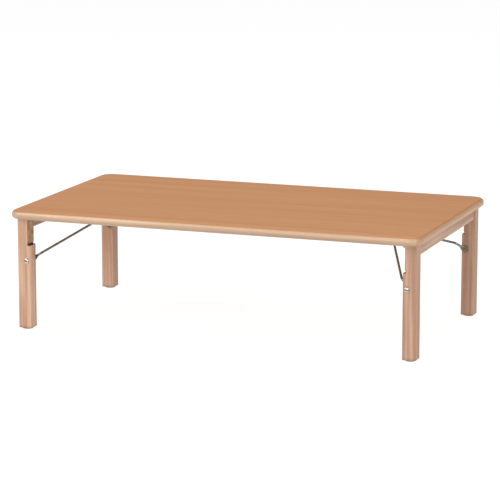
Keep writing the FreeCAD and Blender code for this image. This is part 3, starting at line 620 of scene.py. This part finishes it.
def makePanel(look):
    addPiece("topDecorSheet", sheetMesh(look), finishes["topDecor"], "table_top", "top_decor", "face_sheet")
    outward = {"front": (0, -1), "back": (0, 1), "left": (-1, 0), "right": (1, 0)}
    for side, (outX, outY) in outward.items():
        mesh = lippingMesh(look, outX, outY)
        addPiece(f"{side}EdgeLipping", mesh, finishes[f"{side}EdgeWood"], "table_top", "edge_wood",
                 f"{side}_lipping")


makePanel(panelLook)
print("panel made")

# wire stays: a round wire hammered flat into an eye at each end
stayLook = {
    "wire": 0.003, "kneeReach": 0.0225, "kneeRise": 0.0147, "barHalf": 0.032, "kneeBend": 0.018,
    "barBend": 0.020, "eye": 0.0085, "eyeHalf": 0.0015, "bore": 0.00305, "flatTo": 0.0075,
    "neckTo": 0.0158, "eyeSteps": 14, "neckSteps": 10, "bendSteps": 14, "count": 28, "flatPower": 5.0,
    "roundPower": 2.0, "eyeFrom": 5, "eyeSweep": 120, "boreReach": 0.3, "boreCount": 32, "crease": 50,
}


def easeStep(value):
    value = min(max(value, 0.0), 1.0)
    return value * value * (3 - 2 * value)


def bentRun(corners, bends, steps):
    # straight runs joined by tangent arcs
    route = []
    for before, corner, after, bend in zip(corners, corners[1:], corners[2:], bends):
        back = (before - corner).normalized()
        ahead = (after - corner).normalized()
        half = back.angle(ahead) / 2
        centre = corner + (back + ahead).normalized() * bend / math.sin(half)
        start = corner + back * bend / math.tan(half) - centre
        finish = corner + ahead * bend / math.tan(half) - centre
        for step in range(steps + 1):
            route.append(centre + start.slerp(finish, step / steps).normalized() * bend)
    return route + [corners[-1]]


def eyeSpots(eye, outward, look):
    # centre, half width, half thickness and squareness, from the eye's tip to the end of its neck
    radius, wire, power = look["eye"], look["wire"], look["flatPower"]
    spots = []
    for step in range(look["eyeSteps"] + 1):
        a = math.radians(look["eyeFrom"] + look["eyeSweep"] * step / look["eyeSteps"])
        spots.append((eye - outward * radius * math.cos(a), radius * math.sin(a), look["eyeHalf"], power))
    wide = spots[-1][1]
    shoulder = (spots[-1][0] - eye).length
    for step in range(1, look["neckSteps"] + 1):
        way = shoulder + (look["neckTo"] - shoulder) * step / look["neckSteps"]
        slim = easeStep((way - shoulder) / (look["neckTo"] - shoulder))
        thick = easeStep((way - look["flatTo"]) / (look["neckTo"] - look["flatTo"]))
        spots.append((eye + outward * way, wide + (wire - wide) * slim,
                      look["eyeHalf"] + (wire - look["eyeHalf"]) * thick,
                      power + (look["roundPower"] - power) * thick))
    return spots


def wireRings(spots, look):
    # a ring of points round each spot, from the eye to the middle of the bar
    flat = Vector((0, 1, 0))
    rings = []
    for place, (point, width, thick, power) in enumerate(spots):
        ahead = spots[min(place + 1, len(spots) - 1)][0] - spots[max(place - 1, 0)][0]
        if place == len(spots) - 1:
            ahead = Vector((0, -1, 0))
        ahead.normalize()
        flat = (flat - ahead * flat.dot(ahead)).normalized()
        across = ahead.cross(flat)
        ring = []
        for step in range(look["count"]):
            a = 2 * math.pi * step / look["count"]
            c, s = math.cos(a), math.sin(a)
            ring.append(point + across * width * math.copysign(abs(c) ** (2 / power), c)
                        + flat * thick * math.copysign(abs(s) ** (2 / power), s))
        rings.append(ring)
    return rings


def stayMesh(end, look):
    low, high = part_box(f"{end}_stay_wire")
    wire = look["wire"]
    pivot = jointAt[f"{end}_stay_swing"]
    eye = Vector((pivot.x, high.y - wire, pivot.z))
    knee = eye + Vector((-ends[end] * look["kneeReach"], 0, look["kneeRise"]))
    barX = low.x + wire if end == "right" else high.x - wire
    bend = Vector((barX, look["barHalf"], high.z - wire))
    middle = Vector((barX, 0, bend.z))
    spots = eyeSpots(eye, (knee - eye).normalized(), look)
    run = bentRun([eye, knee, bend, middle], [look["kneeBend"], look["barBend"]], look["bendSteps"])
    spots += [(point, wire, wire, look["roundPower"]) for point in run]
    half = wireRings(spots, look)
    other = [[Vector((p.x, -p.y, p.z)) for p in ring] for ring in reversed(half[:-1])]
    bore = turnedMesh([(look["bore"], -look["boreReach"]), (look["bore"], look["boreReach"])],
                      look["boreCount"])
    bore.transform(Matrix.Translation((pivot.x, 0, pivot.z)) @ Matrix.Rotation(math.pi / 2, 4, "X"))
    return combined(skinRings(half + other), bore, "DIFFERENCE")


for end in ends:
    addPiece(f"{end}WireStay", stayMesh(end, stayLook), finishes["drawnWire"], f"{end}_stay", "wire_steel",
             f"{end}_stay_wire", crease=stayLook["crease"])
print("wire stays bent")

# bolts that carry the stays, with washers and nuts
fixingLook = {
    "headWall": 0.0008, "headEase": 0.0002, "domeSteps": 9, "domePower": 0.75, "domeTip": 0.0004,
    "slotWidth": 0.0021, "slotDepth": 0.0017, "slotReach": 0.02, "threadPitch": 0.0012,
    "threadDepth": 0.0003, "threadLength": 0.013, "threadLead": 0.35, "shank": 0.00295,
    "washerHole": 0.0032, "washerEase": 0.00025, "nutEase": 0.0006, "nutCrown": 0.84, "nutPlay": 0.00005,
    "slotTurns": {"right_front": 0, "right_back": 24, "left_front": -15, "left_back": 58},
    "nutTurns": {"right_front": 8, "right_back": 19, "left_front": 41, "left_back": 27},
    "boltCount": 40, "rimCount": 48, "boreCount": 32,
}


def ontoY(place, hand, spin):
    # stands a piece made along +Z on the Y axis, its top to the hand side
    return (Matrix.Translation(place) @ Matrix.Rotation(-hand * math.pi / 2, 4, "X")
            @ Matrix.Rotation(math.radians(spin), 4, "Z"))


def boltMesh(look, length, headRadius, headHeight):
    shank = look["shank"]
    under = length - headHeight
    profile = [(shank - 2 * look["threadDepth"], 0.0)]
    turns = int(look["threadLength"] / look["threadPitch"])
    for turn in range(turns):
        start = look["threadPitch"] * (turn + look["threadLead"])
        profile.append((shank, start))
        profile.append((shank - look["threadDepth"], start + look["threadPitch"] / 2))
    ease = look["headEase"]
    profile += [(shank, look["threadPitch"] * (turns + look["threadLead"])), (shank, under),
                (headRadius - ease, under), (headRadius, under + ease),
                (headRadius, under + look["headWall"])]
    for step in range(1, look["domeSteps"]):
        a = math.pi / 2 * step / look["domeSteps"]
        rise = (headHeight - look["headWall"]) * math.sin(a)
        profile.append((headRadius * math.cos(a) ** look["domePower"], under + look["headWall"] + rise))
    profile.append((look["domeTip"], length))
    mesh = turnedMesh(profile, look["boltCount"])
    mesh.materials.append(finishes["nickelPlate"])
    mesh.materials.append(finishes["dullPlate"])
    for face in mesh.polygons:
        face.material_index = 1 if face.center.z < under else 0
    half = look["slotWidth"] / 2
    reach = look["slotReach"]
    slot = block((-reach, -half, length - look["slotDepth"]), (reach, half, length + reach / 2))
    # the slot's faces take the dark steel: painted shade in the slot
    slot.materials.append(finishes["slotShade"])
    return combined(mesh, slot, "DIFFERENCE")


def nutMesh(look, height, corner):
    shell = bmesh.new()
    bmesh.ops.create_cone(shell, cap_ends=True, segments=6, radius1=corner, radius2=corner, depth=height)
    ease = look["nutEase"]
    crown = corner * look["nutCrown"]
    lens = turnedMesh([(crown, -height / 2), (corner, -height / 2 + ease), (corner, height / 2 - ease),
                       (crown, height / 2)], look["rimCount"])
    mesh = combined(asMesh(shell), lens, "INTERSECT")
    hole = look["shank"] + look["nutPlay"]
    bore = turnedMesh([(hole, -height), (hole, height)], look["boreCount"])
    return combined(mesh, bore, "DIFFERENCE")


def washerMesh(look, thickness, radius):
    ease = look["washerEase"]
    half = thickness / 2
    outer = turnedMesh([(radius - ease, -half), (radius, ease - half), (radius, half - ease),
                        (radius - ease, half)], look["rimCount"])
    hole = look["washerHole"]
    bore = turnedMesh([(hole, -thickness), (hole, thickness)], look["boreCount"])
    return combined(outer, bore, "DIFFERENCE")


def makeFixings(end, look):
    body = f"{end}_leg_frame"
    bolts, nuts, washers = [], [], []
    for low, high in solidBoxes(f"{end}_stay_bolts"):
        side = "back" if low.y > 0 else "front"
        hand = sides[side]
        middle = (low + high) / 2
        start = Vector((middle.x, low.y if hand > 0 else high.y, middle.z))
        headRadius = (high.x - low.x) / 2
        headHeight = abs(high.y if hand > 0 else low.y) - abs(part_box(f"{end}_{side}_leg")[hand > 0].y)
        mesh = boltMesh(look, high.y - low.y, headRadius, headHeight)
        bolts.append(placed(mesh, ontoY(start, hand, look["slotTurns"][f"{end}_{side}"])))
    for low, high in solidBoxes(f"{end}_stay_nuts"):
        side = "back" if low.y > 0 else "front"
        corner = max(high.x - low.x, high.z - low.z) / 2
        mesh = nutMesh(look, high.y - low.y, corner)
        nuts.append(placed(mesh, ontoY((low + high) / 2, 1, look["nutTurns"][f"{end}_{side}"])))
    for low, high in solidBoxes(f"{end}_stay_washers"):
        mesh = washerMesh(look, high.y - low.y, (high.x - low.x) / 2)
        washers.append(placed(mesh, ontoY((low + high) / 2, 1, 0)))
    kinds = (("bolts", bolts, "nickelPlate"), ("nuts", nuts, "dullPlate"), ("washers", washers, "dullPlate"))
    for kind, meshes, finish in kinds:
        addPiece(f"{end}Stay{kind.title()}", joined(meshes), finishes[finish], body, "bright_steel",
                 f"{end}_stay_{kind}")


for end in ends:
    makeFixings(end, fixingLook)
print("stay bolts, washers and nuts made")

# countersunk cross-head screws, set out on the frame's own screw places
screwLook = {
    "Head Radius": 0.0032, "Head Height": 0.0017, "Core Radius": 0.00125, "Length": 0.014, "Tip": 0.003,
    "Thread Turns": 8.0, "Thread Radius": 0.0004, "Recess Span": 0.0038, "Recess Width": 0.0009,
    "Recess Depth": 0.0012, "Seed": 4,
}
screwSteps = {"headSides": 24, "coreSides": 16, "turnSteps": 14, "ridgeSides": 3, "tip": 0.0001,
              "taper": 0.7}


def lifted(tree, geometry, height):
    place = put(tree, "ShaderNodeCombineXYZ", {2: height}).outputs[0]
    return put(tree, "GeometryNodeTransform", {"Geometry": geometry, "Translation": place}).outputs[0]


def sunkHead(tree, given, steps):
    # a countersunk head with a crossed recess
    head = put(tree, "GeometryNodeMeshCone",
               {"Vertices": steps["headSides"], "Radius Bottom": given["Head Radius"],
                "Radius Top": given["Core Radius"], "Depth": given["Head Height"]})
    deep = math2(tree, "MULTIPLY", given["Recess Depth"], 2.0)
    span, width = given["Recess Span"], given["Recess Width"]
    bars = []
    for sizeX, sizeY in ((span, width), (width, span)):
        size = put(tree, "ShaderNodeCombineXYZ", {0: sizeX, 1: sizeY, 2: deep})
        bars.append(put(tree, "GeometryNodeMeshCube", {"Size": size.outputs[0]}).outputs["Mesh"])
    cross = put(tree, "GeometryNodeMeshBoolean", operation="UNION")
    for bar in bars:
        tree.links.new(bar, cross.inputs["Mesh 2"])
    sunk = put(tree, "GeometryNodeMeshBoolean", {"Mesh 1": head.outputs["Mesh"],
                                                 "Mesh 2": cross.outputs["Mesh"]}, operation="DIFFERENCE")
    return sunk.outputs["Mesh"]


def threadedShank(tree, given, steps):
    # a core, its point and a spiral ridge round both
    coreLength = math2(tree, "SUBTRACT", math2(tree, "SUBTRACT", given["Length"], given["Tip"]),
                       given["Head Height"])
    core = put(tree, "GeometryNodeMeshCylinder",
               {"Vertices": steps["coreSides"], "Radius": given["Core Radius"], "Depth": coreLength})
    middle = math2(tree, "ADD", given["Head Height"], math2(tree, "MULTIPLY", coreLength, 0.5))
    core = lifted(tree, core.outputs["Mesh"], middle)
    point = put(tree, "GeometryNodeMeshCone",
                {"Vertices": steps["coreSides"], "Radius Bottom": given["Core Radius"],
                 "Radius Top": steps["tip"], "Depth": given["Tip"]})
    tipStart = math2(tree, "SUBTRACT", given["Length"], given["Tip"])
    point = lifted(tree, point.outputs["Mesh"], tipStart)
    threadLength = math2(tree, "ADD", coreLength, math2(tree, "MULTIPLY", given["Tip"], 0.5))
    spiral = put(tree, "GeometryNodeCurveSpiral",
                 {"Resolution": steps["turnSteps"], "Rotations": given["Thread Turns"],
                  "Start Radius": given["Core Radius"], "Height": threadLength,
                  "End Radius": math2(tree, "MULTIPLY", given["Core Radius"], steps["taper"])})
    ridge = put(tree, "GeometryNodeCurvePrimitiveCircle",
                {"Resolution": steps["ridgeSides"], "Radius": given["Thread Radius"]})
    thread = put(tree, "GeometryNodeCurveToMesh",
                 {"Curve": spiral.outputs["Curve"], "Profile Curve": ridge.outputs["Curve"],
                  "Fill Caps": True})
    thread = lifted(tree, thread.outputs["Mesh"], given["Head Height"])
    return core, point, thread


def screwTree(look, steps):
    tree = bpy.data.node_groups.new("screwRows", "GeometryNodeTree")
    tree.interface.new_socket("Geometry", in_out="INPUT", socket_type="NodeSocketGeometry")
    for name in look:
        kind = "NodeSocketInt" if name == "Seed" else "NodeSocketFloat"
        tree.interface.new_socket(name, in_out="INPUT", socket_type=kind)
    tree.interface.new_socket("Aim", in_out="INPUT", socket_type="NodeSocketVector")
    tree.interface.new_socket("Geometry", in_out="OUTPUT", socket_type="NodeSocketGeometry")
    given = put(tree, "NodeGroupInput").outputs
    parts = (sunkHead(tree, given, steps), *threadedShank(tree, given, steps))
    screw = put(tree, "GeometryNodeJoinGeometry")
    for part in parts:
        tree.links.new(part, screw.inputs[0])
    # each cross stops at another turn
    spin = put(tree, "FunctionNodeRandomValue", {"Seed": given["Seed"]}, data_type="FLOAT")
    spin.inputs[3].default_value = math.pi
    spun = put(tree, "FunctionNodeEulerToRotation",
               {0: put(tree, "ShaderNodeCombineXYZ", {2: spin.outputs[1]}).outputs[0]})
    aimed = put(tree, "FunctionNodeRotateRotation",
                {"Rotation": spun.outputs[0],
                 "Rotate By": put(tree, "FunctionNodeEulerToRotation", {0: given["Aim"]}).outputs[0]})
    rows = put(tree, "GeometryNodeInstanceOnPoints",
               {"Points": given["Geometry"], "Instance": screw.outputs[0], "Rotation": aimed.outputs[0]})
    real = put(tree, "GeometryNodeRealizeInstances", {0: rows.outputs[0]})
    dressed = put(tree, "GeometryNodeSetMaterial", {"Geometry": real.outputs[0],
                                                    "Material": finishes["zincPlate"]})
    put(tree, "NodeGroupOutput", {0: dressed.outputs[0]})
    return tree


screwRows = screwTree(screwLook, screwSteps)


def makeScrews(name, body, spots, aim, replaced):
    mesh = bpy.data.meshes.new(name)
    mesh.from_pydata(spots, [], [])
    holder = hold(mesh)
    step = holder.modifiers.new("screws", "NODES")
    step.node_group = screwRows
    values = dict(screwLook, Aim=aim)
    for item in screwRows.interface.items_tree:
        if item.in_out == "INPUT" and item.name in values:
            step[item.identifier] = values[item.name]
    addPiece(name, evaluated(holder), finishes["zincPlate"], body, "zinc_steel", *replaced)


topRows = [f"{end}_{row}" for end in ends for row in ("hinge_top_screws", "catch_screws", "clip_screws")]
upward = []
for node in topRows:
    for low, high in solidBoxes(node):
        upward.append(((low.x + high.x) / 2, (low.y + high.y) / 2, low.z))
makeScrews("topScrews", "table_top", upward, (0, 0, 0), topRows)
for end, hand in ends.items():
    node = f"{end}_hinge_leg_screws"
    spots = []
    for low, high in solidBoxes(node):
        spots.append((low.x if hand > 0 else high.x, (low.y + high.y) / 2, (low.z + high.z) / 2))
    makeScrews(f"{end}LegScrews", f"{end}_leg_frame", spots, (0, hand * math.pi / 2, 0), [node])
print("screws set:", len(upward), "under the top")

# hinges, catches and clips keep their drawn shape with eased edges
easeLook = {"leaf": 0.0004, "catch": 0.0010, "clip": 0.0009, "nylonSteps": 4}
for end in ends:
    for side in sides:
        corner = f"{end}{side.title()}"
        for leaf, body in (("Top", "table_top"), ("Leg", f"{end}_leg_frame")):
            node = f"{end}_{side}_hinge_{leaf.lower()}_leaf"
            addPiece(f"{corner}{leaf}Leaf", softened(node, easeLook["leaf"]), finishes["zincPlate"], body,
                     "zinc_steel", node)
    for name, kind, ease in (("StayCatch", "stay_catch", "catch"), ("StorageClip", "storage_clip", "clip")):
        node = f"{end}_{kind}"
        mesh = softened(node, easeLook[ease], easeLook["nylonSteps"])
        addPiece(f"{end}{name}", mesh, finishes["whiteNylon"], "table_top", "white_nylon", node)
print("hinges, catches and clips eased")

# plain pale floor
floorLook = {"size": 60.0, "colour": linear(120, 120, 120), "glow": 0.88, "roughness": 0.9, "shine": 0.1}


def makeFloor(look):
    half = look["size"] / 2
    mesh = bpy.data.meshes.new("floor")
    corners = [(-half, -half, 0), (half, -half, 0), (half, half, 0), (-half, half, 0)]
    mesh.from_pydata(corners, [], [(0, 1, 2, 3)])
    floor = bpy.data.objects.new("floor", mesh)
    scene.collection.objects.link(floor)
    material, _, shader = newMaterial("paleFloor")
    shader.inputs["Base Color"].default_value = look["colour"]
    shader.inputs["Roughness"].default_value = look["roughness"]
    shader.inputs["Specular IOR Level"].default_value = look["shine"]
    shader.inputs["Emission Color"].default_value = (1, 1, 1, 1)
    shader.inputs["Emission Strength"].default_value = look["glow"]
    mesh.materials.append(material)


makeFloor(floorLook)

# soft studio light
lightLook = {
    "sky": 0.46, "aim": (0, 0, 0.2),
    "boxes": {
        "keyBox": {"place": (-2.6, -3.2, 2.6), "size": 2.2, "power": 115},
        "frontBox": {"place": (0.5, -4.6, 0.6), "size": 1.0, "power": 62},
        "sideBox": {"place": (4.2, -0.8, 1.5), "size": 2.0, "power": 75},
        "overBox": {"place": (-0.4, 0.6, 4.2), "size": 3.2, "power": 90},
    },
}


def makeLights(look):
    world = bpy.data.worlds.new("softSky")
    scene.world = world
    world.use_nodes = True
    sky = world.node_tree.nodes["Background"]
    sky.inputs["Color"].default_value = (1, 1, 1, 1)
    sky.inputs["Strength"].default_value = look["sky"]
    for name, box in look["boxes"].items():
        lamp = bpy.data.lights.new(name, "AREA")
        lamp.energy = box["power"]
        lamp.size = box["size"]
        holder = bpy.data.objects.new(name, lamp)
        scene.collection.objects.link(holder)
        holder.location = box["place"]
        holder.visible_camera = False
        holder.rotation_mode = "QUATERNION"
        aim = Vector(look["aim"]) - Vector(box["place"])
        holder.rotation_quaternion = aim.to_track_quat("-Z", "Y")


makeLights(lightLook)
scene.view_settings.view_transform = "Standard"

cameraLook = {"place": (2.121, -5.777, 1.412), "yaw": 20.18, "pitch": 11.30, "lens": 181.15, "film": 36.0,
              "far": 100}


def makeCamera(look):
    data = bpy.data.cameras.new("photoCamera")
    data.lens = look["lens"]
    data.sensor_width = look["film"]
    data.clip_end = look["far"]
    holder = bpy.data.objects.new("photoCamera", data)
    scene.collection.objects.link(holder)
    holder.location = look["place"]
    holder.rotation_euler = (math.radians(90 - look["pitch"]), 0, math.radians(look["yaw"]))
    scene.camera = holder


makeCamera(cameraLook)
print("floor, lights and camera placed")
